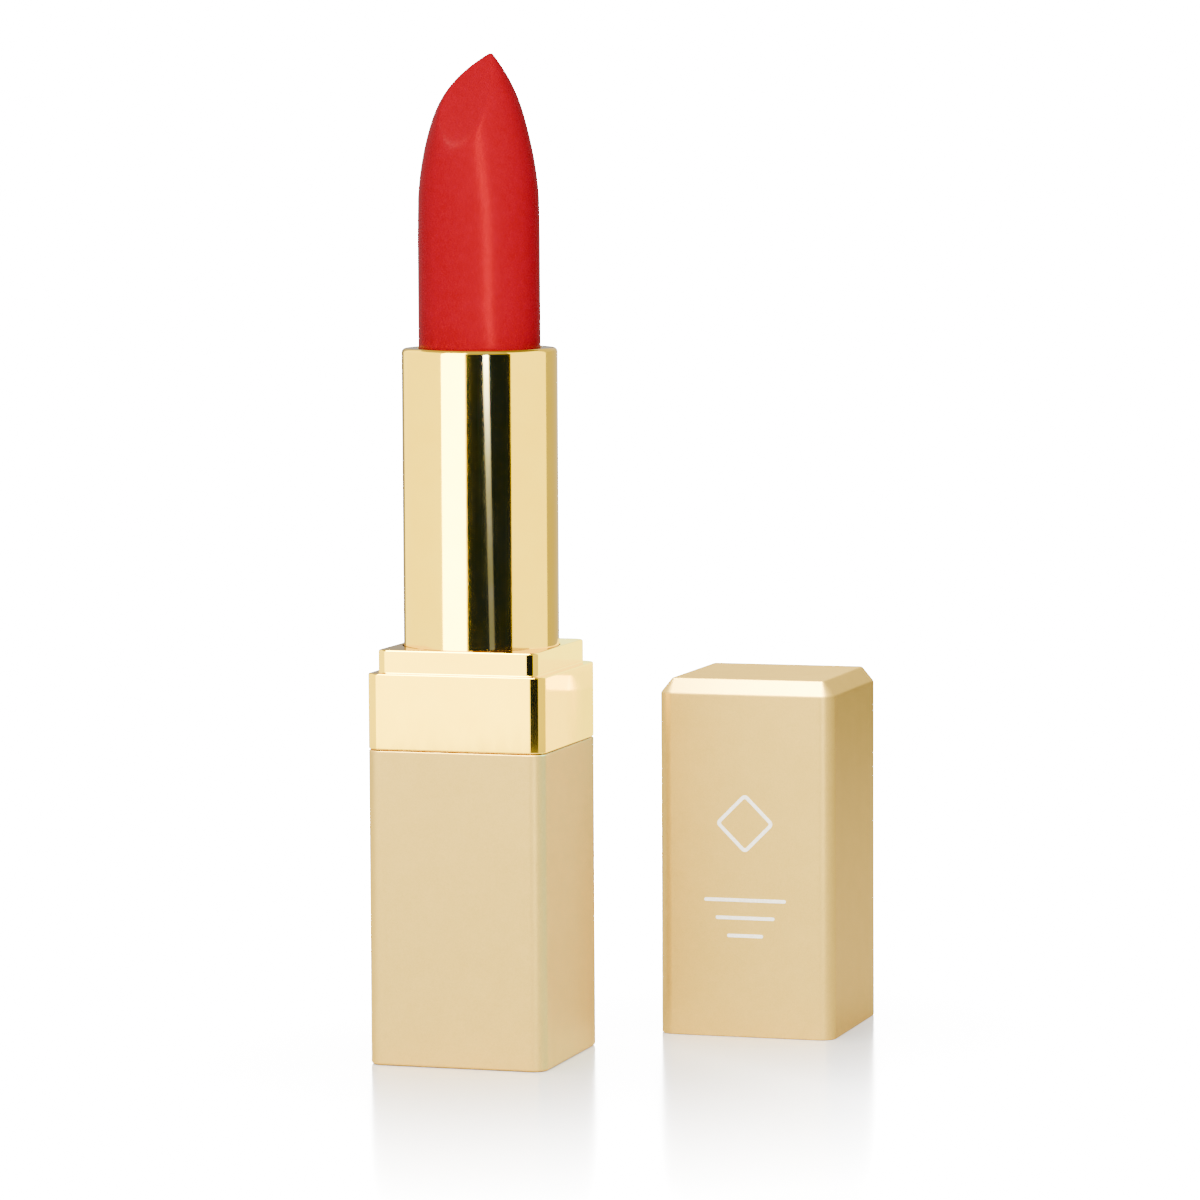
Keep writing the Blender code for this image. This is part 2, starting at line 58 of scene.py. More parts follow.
MM = 0.001
CASE_HALF = BASE_HIGH.x
CASE_CORNER = 1.5 * MM
LEAST_CORNER = 0.3 * MM
BAND_TOP = MOUNTS["cap_seat"]["pos_m"][2]
CAP_CENTRE = Vector(((CAP_LOW.x + CAP_HIGH.x) / 2, (CAP_LOW.y + CAP_HIGH.y) / 2, 0))
CAP_HEIGHT = CAP_HIGH.z

# The bullet's pointed arch, its narrower point and its slanted cut, as the CAD has them
BULLET_RADIUS = BULLET_HIGH.x
ARCH_START = 83.44 * MM
ARCH_RADIUS = 33.26 * MM
NARROWING = 1.68 * MM
NARROWING_START = 93 * MM
NARROWING_END = 99.7 * MM
NARROWING_POWER = 2.65
CUT_SLANT = radians(61)
CUT_UPHILL = radians(79.4)
CUT_ON_AXIS = 100.1 * MM

# What the CAD leaves out: how the point leans and is rounded, and how the cut is crowned and edged
LEAN = 1.39 * MM
LEAN_POWER = 5.8
POINT = Vector((1.37 * MM, 0, 99.7 * MM))
POINT_ROUNDNESS = 0.08 * MM
CROWN_RADIUS = 120 * MM
FACE_HALF = 5.4 * MM
FACE_MIDDLE = 2.6 * MM
LOW_EDGE_ROUND = 0.5 * MM
LOW_EDGE_LEVEL = 88 * MM
HIGH_EDGE_ROUND = 0.05 * MM
HIGH_EDGE_LEVEL = 98 * MM

# How finely the meshes are divided
FLAT_STEPS = 12
CORNER_STEPS = 12
CIRCLE_STEPS = 160
EDGE_STEPS = 5
SHARP_ANGLE = radians(35)


# ---------------------------------------------------------------- rings and lofts


def square_ring(half, corner, height, centre=(0.0, 0.0)):
    """Points of a rounded square, with more of them round its corners."""
    points = []
    straight = half - corner
    for quarter in range(4):
        turn = Matrix.Rotation(quarter * pi / 2, 2)
        for step in range(CORNER_STEPS):
            angle = pi / 2 * step / CORNER_STEPS
            point = Vector((straight + corner * cos(angle), straight + corner * sin(angle)))
            points.append(turn @ point)
        for step in range(FLAT_STEPS):
            along = straight * (1 - 2 * step / FLAT_STEPS)
            points.append(turn @ Vector((along, half)))
    return [Vector((p.x + centre[0], p.y + centre[1], height)) for p in points]


def round_ring(radius, height, like=None, steps=CIRCLE_STEPS):
    """Points of a circle, evenly spaced or at the same angles as another ring's points."""
    if like is None:
        angles = [2 * pi * step / steps for step in range(steps)]
    else:
        angles = [atan2(point.y, point.x) for point in like]
    return [Vector((radius * cos(angle), radius * sin(angle), height)) for angle in angles]


def loft(name, rings, closed=False):
    """A closed mesh through rings with equal numbers of points, capped unless it closes on itself."""
    shape = bmesh.new()
    rows = [[shape.verts.new(point) for point in ring] for ring in rings]
    count = len(rows[0])
    pairs = list(zip(rows, rows[1:]))
    if closed:
        pairs.append((rows[-1], rows[0]))
    for lower, upper in pairs:
        for i in range(count):
            j = (i + 1) % count
            shape.faces.new((lower[i], lower[j], upper[j], upper[i]))
    if not closed:
        shape.faces.new(rows[0][::-1])
        shape.faces.new(rows[-1])
    bmesh.ops.recalc_face_normals(shape, faces=shape.faces)
    return mesh_piece(name, shape)


def mesh_piece(name, shape):
    """An object from a bmesh, shaded smooth except at its sharp edges."""
    mesh = bpy.data.meshes.new(name)
    shape.to_mesh(mesh)
    shape.free()
    mesh.shade_smooth()
    mesh.set_sharp_from_angle(angle=SHARP_ANGLE)
    piece = bpy.data.objects.new(name, mesh)
    bpy.context.scene.collection.objects.link(piece)
    return piece


def keep_flats_flat(piece):
    """Normals weighted by area, so that a flat beside a rounded edge reflects as a flat."""
    modifier = piece.modifiers.new("weighted normals", "WEIGHTED_NORMAL")
    modifier.keep_sharp = True
    modifier.weight = 100


def arc_to_flat(inset, width, level, rise, steps=EDGE_STEPS):
    """(inset, height) pairs of a quarter round, from a side to a flat."""
    pairs = []
    for step in range(steps + 1):
        angle = pi / 2 * step / steps
        pairs.append((inset + width * (1 - cos(angle)), level + rise * sin(angle)))
    return pairs


def arc_to_side(place, width, level, rise, steps):
    """(place, height) pairs of a quarter round, from a flat to a side."""
    pairs = []
    for step in range(steps + 1):
        angle = pi / 2 * step / steps
        pairs.append((place + width * (1 - sin(angle)), level + rise * (1 - cos(angle))))
    return pairs


def case_rings(pairs, centre=(0.0, 0.0)):
    """Square rings of the case at (inset, height) pairs."""
    return [
        square_ring(CASE_HALF - inset, max(CASE_CORNER - inset, LEAST_CORNER), height, centre)
        for inset, height in pairs
    ]


# ---------------------------------------------------------------- pieces


def make_base():
    """The base's shell: label recess, rounded foot, sides, a softened top edge and its inside."""
    foot, top_round, wall, floor = 0.3 * MM, 0.12 * MM, 0.8 * MM, 1.2 * MM
    recess_half, recess_corner, recess_depth = 6.0 * MM, 1.6 * MM, 0.15 * MM
    top = BASE_HIGH.z
    rings = [square_ring(recess_half, recess_corner, recess_depth)]
    rings.append(square_ring(recess_half, recess_corner, 0.0))
    rings += case_rings(arc_to_flat(0, foot, foot, -foot)[::-1])
    rings += case_rings(arc_to_flat(0, top_round, top - top_round, top_round))
    rings += case_rings([(wall, top), (wall, floor)])
    piece = loft("base_body", rings)
    keep_flats_flat(piece)
    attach(piece, "base")
    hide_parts("base_shell")
    return piece


def make_collar():
    """Band and step in one piece, with the skirt down into the base and the bore for the tube."""
    skirt_half, skirt_corner = COLLAR_HIGH.x - 0.9 * MM, 0.7 * MM
    step_half, step_corner, step_round = 8.3 * MM, 1.2 * MM, 0.22 * MM
    bore, lead = 7.85 * MM, 0.08 * MM
    edge, root = 0.14 * MM, 0.12 * MM
    band_bottom = BASE_HIGH.z + 0.1 * MM
    top, bottom = COLLAR_HIGH.z, COLLAR_LOW.z
    rings = [square_ring(skirt_half, skirt_corner, bottom)]
    rings.append(square_ring(skirt_half, skirt_corner, band_bottom))
    rings += case_rings(arc_to_flat(0, edge, band_bottom + edge, -edge)[::-1])
    rings += case_rings(arc_to_flat(0, edge, BAND_TOP - edge, edge))
    for out, height in arc_to_side(0, root, BAND_TOP, root, steps=4):
        rings.append(square_ring(step_half + out, step_corner + out, height))
    for inset, height in arc_to_flat(0, step_round, top - step_round, step_round):
        rings.append(square_ring(step_half - inset, step_corner - inset, height))
    like = rings[-1]
    rings.append(round_ring(bore + lead, top, like))
    rings.append(round_ring(bore, top - lead, like))
    rings.append(round_ring(bore, bottom, like))
    piece = loft("collar_trim", rings, closed=True)
    keep_flats_flat(piece)
    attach(piece, "base")
    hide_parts("collar")
    return piece


def make_tube():
    """The gold tube with its rolled rim and the thin lip that the bullet passes."""
    outside, inside, lip = TUBE_HIGH.x, 7.35 * MM, 6.2 * MM
    top, bottom = TUBE_HIGH.z, TUBE_LOW.z
    rim, lip_round, lip_height = 0.45 * MM, 0.12 * MM, 0.4 * MM
    pairs = [(inside, top - lip_height), (lip, top - lip_height)]
    pairs += arc_to_flat(lip, lip_round, top - lip_round, lip_round, steps=4)
    pairs += arc_to_side(outside, -rim, top, -rim, steps=8)
    pairs += [(outside, bottom), (inside, bottom)]
    piece = loft("outer_tube", [round_ring(radius, height) for radius, height in pairs], closed=True)
    keep_flats_flat(piece)
    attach(piece, "swivel")
    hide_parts("gold_tube")
    return piece


def smooth_max(a, b, width):
    """The larger of two numbers, blended where they are within a width of each other."""
    gap = max(width - abs(a - b), 0.0) / width
    return max(a, b) + gap * gap * gap * width / 6


def arch_depth(point):
    """How far a point is outside the pointed arch: below 0 inside, above 0 outside."""
    rise = max(point.z - ARCH_START, 0.0)
    arch_half = BULLET_RADIUS - ARCH_RADIUS + sqrt(max(ARCH_RADIUS**2 - rise**2, 0.0))
    share = max((point.z - NARROWING_START) / (NARROWING_END - NARROWING_START), 0.0)
    across = hypot(point.x, point.y, POINT_ROUNDNESS)
    return across - arch_half + NARROWING * share**NARROWING_POWER


def cut_depth(point):
    """How far a point is above the slanted cut, whose face is slightly crowned."""
    uphill = Vector((cos(CUT_UPHILL), sin(CUT_UPHILL), 0.0))
    normal = Vector((0, 0, cos(CUT_SLANT))) - uphill * sin(CUT_SLANT)
    middle = Vector((0, 0, CUT_ON_AXIS - FACE_MIDDLE * tan(CUT_SLANT))) - uphill * FACE_MIDDLE
    from_middle = point - middle
    sideways = from_middle - normal * from_middle.dot(normal)
    bulge = (FACE_HALF**2 - sideways.length_squared) / (2 * CROWN_RADIUS)
    return from_middle.dot(normal) - bulge


def bullet_depth(point):
    """How far a point is outside the bullet's nose, which leans to one side at its point."""
    rise = max(point.z - ARCH_START, 0.0)
    lean = LEAN * (rise / (NARROWING_END - ARCH_START)) ** LEAN_POWER
    upright = Vector((point.x - lean, point.y, point.z))
    share = (point.z - LOW_EDGE_LEVEL) / (HIGH_EDGE_LEVEL - LOW_EDGE_LEVEL)
    share = min(max(share, 0.0), 1.0)
    edge_round = LOW_EDGE_ROUND * (1 - share) + HIGH_EDGE_ROUND * share
    return smooth_max(arch_depth(upright), cut_depth(upright), edge_round)


def reach(start, direction):
    """The distance from a point inside the nose to its surface, by halving."""
    halvings = 40
    near, far = 0.0, 30 * MM
    for _ in range(halvings):
        middle = (near + far) / 2
        if bullet_depth(start + direction * middle) < 0:
            near = middle
        else:
            far = middle
    return near


def nose_ring(heart, share, around):
    """A ring on the nose, from a level one at share 0 to the point at share 1."""
    aim = (POINT - heart).normalized()
    ring = []
    for step in range(around):
        angle = 2 * pi * step / around
        level = Vector((cos(angle), sin(angle), 0.0))
        direction = (level * cos(pi / 2 * share) + aim * sin(pi / 2 * share)).normalized()
        ring.append(heart + direction * reach(heart, direction))
    return ring


def make_bullet():
    """The wax: a foot in the cup, a round body, and a nose found along rays from inside it."""
    around, up = 224, 132
    shoulder, shoulder_round, foot_radius = 70.1 * MM, 0.25 * MM, 5.6 * MM
    body_levels = (74 * MM, 78 * MM, ARCH_START - 2 * MM)
    heart = Vector((0, 0, ARCH_START + 2 * MM))
    pairs = [(foot_radius, BULLET_LOW.z), (foot_radius, shoulder)]
    for gap, height in arc_to_side(0, shoulder_round, shoulder, shoulder_round, steps=4):
        pairs.append((BULLET_RADIUS - gap, height))
    pairs += [(BULLET_RADIUS, height) for height in body_levels]
    rings = [round_ring(radius, height, steps=around) for radius, height in pairs]
    rings += [nose_ring(heart, row / up, around) for row in range(up)]
    piece = loft("lipstick", rings)
    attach(piece, "carrier")
    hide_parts("bullet")
    return piece


def make_cap():
    """The cap's shell: inside, rim, sides, and the sloping edge round its top."""
    wall, roof, rim = 0.75 * MM, 1.7 * MM, 0.15 * MM
    chamfer_height, chamfer_inset, crisp = 1.5 * MM, 1.2 * MM, 0.16 * MM
    slope = hypot(chamfer_height, chamfer_inset)
    side_top = CAP_HEIGHT - chamfer_height
    pairs = [(wall, CAP_HEIGHT - roof), (wall, rim)]
    pairs += arc_to_flat(wall, -rim, rim, -rim, steps=3)[1:]
    pairs += arc_to_flat(0, rim, rim, -rim)[::-1]
    corners = [
        Vector((0.0, side_top - crisp)),
        Vector((0.0, side_top)),
        Vector((crisp * chamfer_inset / slope, side_top + crisp * chamfer_height / slope)),
    ]
    pairs += soft_corner(*corners)
    corners = [
        Vector((chamfer_inset * (1 - crisp / slope), CAP_HEIGHT - chamfer_height * crisp / slope)),
        Vector((chamfer_inset, CAP_HEIGHT)),
        Vector((chamfer_inset + crisp, CAP_HEIGHT)),
    ]
    pairs += soft_corner(*corners)
    centre = (CAP_CENTRE.x, CAP_CENTRE.y)
    piece = loft("cap_body", case_rings(pairs, centre))
    keep_flats_flat(piece)
    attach(piece, "cap")
    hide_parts("cap_shell")
    return piece


def soft_corner(start, corner, end, steps=EDGE_STEPS):
    """Points along a small curve that rounds a corner between two straight stretches."""
    points = []
    for step in range(steps + 1):
        share = step / steps
        blended = start * (1 - share) ** 2 + corner * 2 * share * (1 - share) + end * share**2
        points.append((blended.x, blended.y))
    return points


def upright_prism(shape, outlines, front, depth):
    """A thin printed figure on the cap's front, between an outline and an optional hole in it."""
    loops = []
    for outline in outlines:
        near = [shape.verts.new(Vector((x, front, z))) for x, z in outline]
        far = [shape.verts.new(Vector((x, front + depth, z))) for x, z in outline]
        loops.append((near, far))
        for i in range(len(outline)):
            j = (i + 1) % len(outline)
            shape.faces.new((near[i], near[j], far[j], far[i]))
    if len(loops) == 1:
        for side in loops[0]:
            shape.faces.new(side)
        return
    (outer_near, outer_far), (inner_near, inner_far) = loops
    for outer, inner in ((outer_near, inner_near), (outer_far, inner_far)):
        for i in range(len(outer)):
            j = (i + 1) % len(outer)
            shape.faces.new((outer[i], outer[j], inner[j], inner[i]))


def lozenge_outline(centre, half, corner, steps=6):
    """A lozenge with rounded points."""
    outline = []
    for quarter in range(4):
        heading = pi / 2 * quarter
        middle = half - corner * sqrt(2)
        for step in range(steps + 1):
            angle = heading - pi / 4 + pi / 2 * step / steps
            x = centre[0] + middle * cos(heading) + corner * cos(angle)
            outline.append((x, centre[1] + middle * sin(heading) + corner * sin(angle)))
    return outline


def rule_outline(centre, width, thickness, steps=8):
    """A level rule with round ends."""
    outline = []
    radius = thickness / 2
    for side in (0, 1):
        middle = centre[0] + (width / 2 - radius) * (1 - 2 * side)
        for step in range(steps + 1):
            angle = pi * side - pi / 2 + pi * step / steps
            outline.append((middle + radius * cos(angle), centre[1] + radius * sin(angle)))
    return outline


def make_cap_mark():
    """A plain printed ornament on the cap's front: an open lozenge over three short rules."""
    proud, depth, line = 0.012 * MM, 0.03 * MM, 0.36 * MM
    x, y = CAP_CENTRE.x, CAP_LOW.y - proud
    shape = bmesh.new()
    middle, half, corner = (x, 0.60 * CAP_HEIGHT), 3.1 * MM, 0.5 * MM
    outer = lozenge_outline(middle, half, corner)
    inner = lozenge_outline(middle, half - line * sqrt(2), corner - line * 0.8)
    upright_prism(shape, (outer, inner), y, depth)
    for width, share in ((8.6 * MM, 0.385), (6.2 * MM, 0.335), (3.8 * MM, 0.285)):
        upright_prism(shape, (rule_outline((x, share * CAP_HEIGHT), width, line),), y, depth)
    bmesh.ops.recalc_face_normals(shape, faces=shape.faces)
    piece = mesh_piece("cap_mark", shape)
    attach(piece, "cap")
    return piece


def make_label():
    """The blank sticker under the base, with softened corners."""
    half, corner, thickness = LABEL_HIGH.x, 1.5 * MM, LABEL_HIGH.z
    rings = [square_ring(half, corner, 0.0), square_ring(half, corner, thickness)]
    piece = loft("bottom_label", rings)
    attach(piece, "base")
    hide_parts("shade_label")
    return piece


# ---------------------------------------------------------------- materials


class Nodes:
    """A node tree built a node at a time."""

    def __init__(self, tree):
        self.tree = tree

    def node(self, kind, **settings):
        made = self.tree.nodes.new(kind)
        for key, value in settings.items():
            setattr(made, key, value)
        return made

    def link(self, source, target):
        self.tree.links.new(source, target)

    def math(self, operation, *values):
        """The result of an operation on plain numbers and on other nodes' results."""
        made = self.node("ShaderNodeMath", operation=operation)
        for i, value in enumerate(values):
            if isinstance(value, (int, float)):
                made.inputs[i].default_value = value
            else:
                self.link(value, made.inputs[i])
        return made.outputs[0]

    def spread(self, source, low, high, start=0.3, end=0.7, **settings):
        """A number mapped from one range to another."""
        mapped = self.node("ShaderNodeMapRange", **settings)
        for key, value in (("From Min", start), ("From Max", end), ("To Min", low), ("To Max", high)):
            mapped.inputs[key].default_value = value
        self.link(source, mapped.inputs["Value"])
        return mapped.outputs["Result"]


class Looks(Nodes):
    """A material with a Principled shader."""

    def __init__(self, name):
        self.material = bpy.data.materials.new(name)
        self.material.use_nodes = True
        super().__init__(self.material.node_tree)
        self.shader = self.tree.nodes["Principled BSDF"]
        self.place = self.node("ShaderNodeTexCoord").outputs["Object"]

    def set(self, **values):
        """Constants on the shader's own sockets. An underscore stands for a space."""
        for key, value in values.items():
            self.shader.inputs[key.replace("_", " ")].default_value = value

    def noise(self, size, detail=3.0, roughness=0.55, stretch=(1, 1, 1)):
        """Noise whose features are about as large as the size, in metres."""
        mapping = self.node("ShaderNodeMapping")
        mapping.inputs["Scale"].default_value = stretch
        self.link(self.place, mapping.inputs["Vector"])
        texture = self.node("ShaderNodeTexNoise")
        texture.inputs["Scale"].default_value = 1 / size
        texture.inputs["Detail"].default_value = detail
        texture.inputs["Roughness"].default_value = roughness
        self.link(mapping.outputs["Vector"], texture.inputs["Vector"])
        return texture.outputs["Fac"]

    def colours(self, source, dark, light):
        """A colour between two, by a number."""
        mix = self.node("ShaderNodeMix", data_type="RGBA")
        for key, colour in (("A", dark), ("B", light)):
            if isinstance(colour, tuple):
                mix.inputs[key].default_value = (*colour, 1)
            else:
                self.link(colour, mix.inputs[key])
        self.link(source, mix.inputs["Factor"])
        return mix.outputs["Result"]

    def bump(self, source, strength, distance, before=None):
        """A bump from a height, on top of another one."""
        node = self.node("ShaderNodeBump")
        node.inputs["Strength"].default_value = strength
        node.inputs["Distance"].default_value = distance
        self.link(source, node.inputs["Height"])
        if before is not None:
            self.link(before, node.inputs["Normal"])
        return node.outputs["Normal"]


def champagne_paint():
    """Satin champagne lacquer with a fine metallic flake."""
    looks = Looks("champagne_lacquer")
    flake = looks.noise(0.12 * MM, 2.0, 0.7)
    cloud = looks.noise(2.6 * MM, 3.0)
    mixed = looks.math("ADD", looks.spread(flake, 0.0, 0.75), looks.spread(cloud, 0.0, 0.25))
    tint = looks.colours(mixed, (0.66, 0.425, 0.072), (0.77, 0.505, 0.10))
    looks.link(tint, looks.shader.inputs["Base Color"])
    looks.link(looks.spread(flake, 0.34, 0.44), looks.shader.inputs["Roughness"])
    soft = looks.bump(looks.noise(0.55 * MM, 2.0), 0.06, 0.02 * MM)
    looks.link(looks.bump(flake, 0.10, 0.01 * MM, soft), looks.shader.inputs["Normal"])
    looks.set(Metallic=0.75, Specular_IOR_Level=0.2, Specular_Tint=(1.0, 0.8, 0.45, 1))
    return looks.material


def polished_gold(name):
    """Bright gold with the faint haze and ripple of a plated or anodised surface."""
    looks = Looks(name)
    cloud = looks.noise(3.2 * MM, 4.0)
    tint = looks.colours(looks.spread(cloud, 0, 1), (0.98, 0.61, 0.02), (1.0, 0.64, 0.04))
    looks.link(tint, looks.shader.inputs["Base Color"])
    wiped = looks.noise(0.9 * MM, 5.0, 0.6, (1, 1, 0.25))
    looks.link(looks.spread(wiped, 0.048, 0.09), looks.shader.inputs["Roughness"])
    looks.link(looks.bump(cloud, 0.01, 0.02 * MM), looks.shader.inputs["Normal"])
    looks.set(Metallic=1.0, Specular_Tint=(1.0, 0.9, 0.7, 1))
    return looks.material


def red_wax():
    """Dense red wax with a satin skin, faint draw marks along its length, a soft depth, and painted
    shade where it turns away from the view.
    """
    looks = Looks("red_wax")
    cloud = looks.noise(0.9 * MM, 4.0)
    tint = looks.colours(looks.spread(cloud, 0, 1), (0.225, 0.0006, 0.005), (0.24, 0.0008, 0.007))
    # Painted shade: the wax colour darkens towards its outline, where the surface turns away from the
    # view.
    painted_edge_shade = looks.node("ShaderNodeLayerWeight")
    painted_edge_shade.inputs["Blend"].default_value = 0.5
    edge = looks.spread(painted_edge_shade.outputs["Facing"], 0.0, 0.7, 0.3, 1.0)
    looks.link(looks.colours(edge, tint, (0.10, 0.0002, 0.001)), looks.shader.inputs["Base Color"])
    grain = looks.noise(0.16 * MM, 3.0)
    drawn = looks.noise(0.30 * MM, 2.0, 0.5, (1, 1, 0.05))
    looks.link(looks.spread(grain, 0.24, 0.30), looks.shader.inputs["Roughness"])
    skin = looks.bump(drawn, 0.04, 0.02 * MM)
    looks.link(looks.bump(grain, 0.025, 0.01 * MM, skin), looks.shader.inputs["Normal"])
    looks.set(Subsurface_Weight=0.12, Subsurface_Scale=0.5 * MM, IOR=1.45, Specular_IOR_Level=0.04)
    looks.set(Subsurface_Radius=(1.0, 0.15, 0.1), Specular_Tint=(1.0, 0.03, 0.025, 1))
    return looks.material


def moulded_plastic(name, dark, light, roughness):
    """Plain moulded plastic with a fine spark-eroded texture."""
    looks = Looks(name)
    tint = looks.colours(looks.spread(looks.noise(1.5 * MM), 0, 1), dark, light)
    looks.link(tint, looks.shader.inputs["Base Color"])
    grain = looks.noise(0.09 * MM, 2.0)
    looks.link(looks.spread(grain, roughness - 0.05, roughness + 0.08), looks.shader.inputs["Roughness"])
    looks.link(looks.bump(grain, 0.12, 0.01 * MM), looks.shader.inputs["Normal"])
    return looks.material


def drawn_steel():
    """Cold-drawn steel bar with long fine scratches."""
    looks = Looks("drawn_steel")
    scratches = looks.noise(0.12 * MM, 4.0, 0.6, (1, 1, 0.04))
    tint = looks.colours(looks.spread(scratches, 0, 1), (0.36, 0.36, 0.37), (0.55, 0.55, 0.56))
    looks.link(tint, looks.shader.inputs["Base Color"])
    looks.link(looks.spread(scratches, 0.28, 0.46), looks.shader.inputs["Roughness"])
    looks.link(looks.bump(scratches, 0.2, 0.01 * MM), looks.shader.inputs["Normal"])
    looks.set(Metallic=1.0)
    return looks.material


def soft_rubber():
    """Black nitrile rubber with a greasy, mottled skin."""
    looks = Looks("soft_rubber")
    mottle = looks.noise(0.25 * MM, 4.0)
    tint = looks.colours(looks.spread(mottle, 0, 1), (0.012, 0.012, 0.012), (0.03, 0.03, 0.028))
    looks.link(tint, looks.shader.inputs["Base Color"])
    looks.link(looks.spread(mottle, 0.45, 0.75), looks.shader.inputs["Roughness"])
    looks.link(looks.bump(mottle, 0.2, 0.02 * MM), looks.shader.inputs["Normal"])
    return looks.material


def label_paper():
    """Uncoated paper with visible fibres."""
    looks = Looks("label_paper")
    fibres = looks.noise(0.18 * MM, 6.0, 0.65, (1, 0.35, 1))
    tint = looks.colours(looks.spread(fibres, 0, 1), (0.66, 0.63, 0.58), (0.80, 0.78, 0.73))
    looks.link(tint, looks.shader.inputs["Base Color"])
    looks.link(looks.spread(fibres, 0.55, 0.75), looks.shader.inputs["Roughness"])
    looks.link(looks.bump(fibres, 0.25, 0.01 * MM), looks.shader.inputs["Normal"])
    return looks.material


def printed_ink():
    """Ivory pad-printed ink, a little uneven in its cover."""
    looks = Looks("ivory_ink")
    cover = looks.noise(0.2 * MM, 3.0)
    tint = looks.colours(looks.spread(cover, 0, 1), (0.80, 0.74, 0.60), (0.95, 0.92, 0.82))
    looks.link(tint, looks.shader.inputs["Base Color"])
    looks.link(looks.spread(cover, 0.35, 0.5), looks.shader.inputs["Roughness"])
    return looks.material


def pale_floor():
    """White gloss board with a painted glow, seen only by the camera, that is faint next to the two
    standing parts and strong away from them.
    """
    fade_width, fade_power, near_light, far_light = 68 * MM, 1.8, 0.3, 13.0
    looks = Looks("pale_floor")
    distances = []
    for centre in (Vector((0, 0, 0)), CAP_CENTRE):
        away = looks.node("ShaderNodeVectorMath", operation="DISTANCE")
        away.inputs[1].default_value = centre
        looks.link(looks.place, away.inputs[0])
        distances.append(away.outputs["Value"])
    nearest = looks.math("MINIMUM", *distances)
    share = looks.spread(nearest, 0.0, 1.0, CASE_HALF, CASE_HALF + fade_width)
    # Painted glow: the floor emits light for the camera alone, weakest beside the parts so that their
    # reflection shows there, strongest where the floor meets the white backdrop.
    painted_glow = looks.math("MULTIPLY_ADD", looks.math("POWER", share, fade_power), far_light, near_light)
    seen = looks.node("ShaderNodeLightPath").outputs["Is Camera Ray"]
    looks.link(looks.math("MULTIPLY", painted_glow, seen), looks.shader.inputs["Emission Strength"])
    looks.set(Base_Color=(0.82, 0.82, 0.82, 1), Emission_Color=(1, 1, 1, 1), Roughness=0.16, IOR=1.5)
    looks.material.cycles.emission_sampling = "NONE"
    return looks.material


def dress(piece, material):
    """Give a piece or a CAD node its material in every slot."""
    if not piece.data.materials:
        piece.data.materials.append(material)
    for i in range(len(piece.data.materials)):
        piece.data.materials[i] = material


# ---------------------------------------------------------------- studio

CAMERA_AZIMUTH = radians(17.012)
CAMERA_ELEVATION = radians(4.963)
CAMERA_ROLL = radians(-0.297)
CAMERA_DISTANCE = 548.85 * MM
CAMERA_OFFSET = (11.812 * MM, -4.387 * MM)
CAMERA_TARGET = Vector((0, 0, 50 * MM))
CAMERA_LENS = 165.85

# The studio's brightness by bearing: (degrees to the right of the camera's side, brightness)
HORIZON = (
    (-180, 0.7), (-148, 0.7), (-60, 0.9), (-22.5, 0.9), (-18.5, 0.015), (45, 0.015), (48, 0.4),
    (138, 0.28), (150, 0.32), (180, 0.5),
)
OVERHEAD = ((-180, 1.1), (40, 1.1), (70, 0.5), (165, 0.5), (180, 1.1))

# The first gives way to the second between these heights on a sphere of radius 1
HORIZON_TOP = 0.12
OVERHEAD_FOOT = 0.26

# The camera itself sees a plain backdrop this bright
BACKGROUND = 26.0

# Most of the cards stand on one circle round the object. The lamps are aimed at its middle.
CARD_RADIUS = 300 * MM
CARD_LEVELS = (-60 * MM, 320 * MM)
LAMP_AIM = Vector((0, 0, 45 * MM))
FIRST_BOUNCE = 1
WHITE = (1.0, 1.0, 1.0)
GOLDEN = (1.0, 1.0, 0.15)


def camera_axes():
    """The camera's right, up and backward directions, before its roll."""
    az, el = CAMERA_AZIMUTH, CAMERA_ELEVATION
    back = Vector((sin(az) * cos(el), -cos(az) * cos(el), sin(el)))
    right = Vector((cos(az), sin(az), 0))
    return right, back.cross(right), back


def make_camera():
    """The camera of the reference view."""
    right, up, back = camera_axes()
    rolled_right = right * cos(CAMERA_ROLL) + up * sin(CAMERA_ROLL)
    rolled_up = up * cos(CAMERA_ROLL) - right * sin(CAMERA_ROLL)
    data = bpy.data.cameras.new("camera")
    data.lens = CAMERA_LENS
    data.sensor_width = 36
    data.clip_start = 0.01
    data.clip_end = 20
    camera = bpy.data.objects.new("camera", data)
    turn = Matrix((rolled_right, rolled_up, back)).transposed().to_4x4()
    shift = rolled_right * CAMERA_OFFSET[0] + rolled_up * CAMERA_OFFSET[1]
    camera.matrix_world = Matrix.Translation(CAMERA_TARGET + back * CAMERA_DISTANCE + shift) @ turn
    bpy.context.scene.collection.objects.link(camera)
    bpy.context.scene.camera = camera


def facing(bearing):
    """The level direction at a bearing, in degrees to the right of the camera's side."""
    right, _, back = camera_axes()
    level_back = Vector((back.x, back.y, 0)).normalized()
    return level_back * cos(radians(bearing)) + right * sin(radians(bearing))


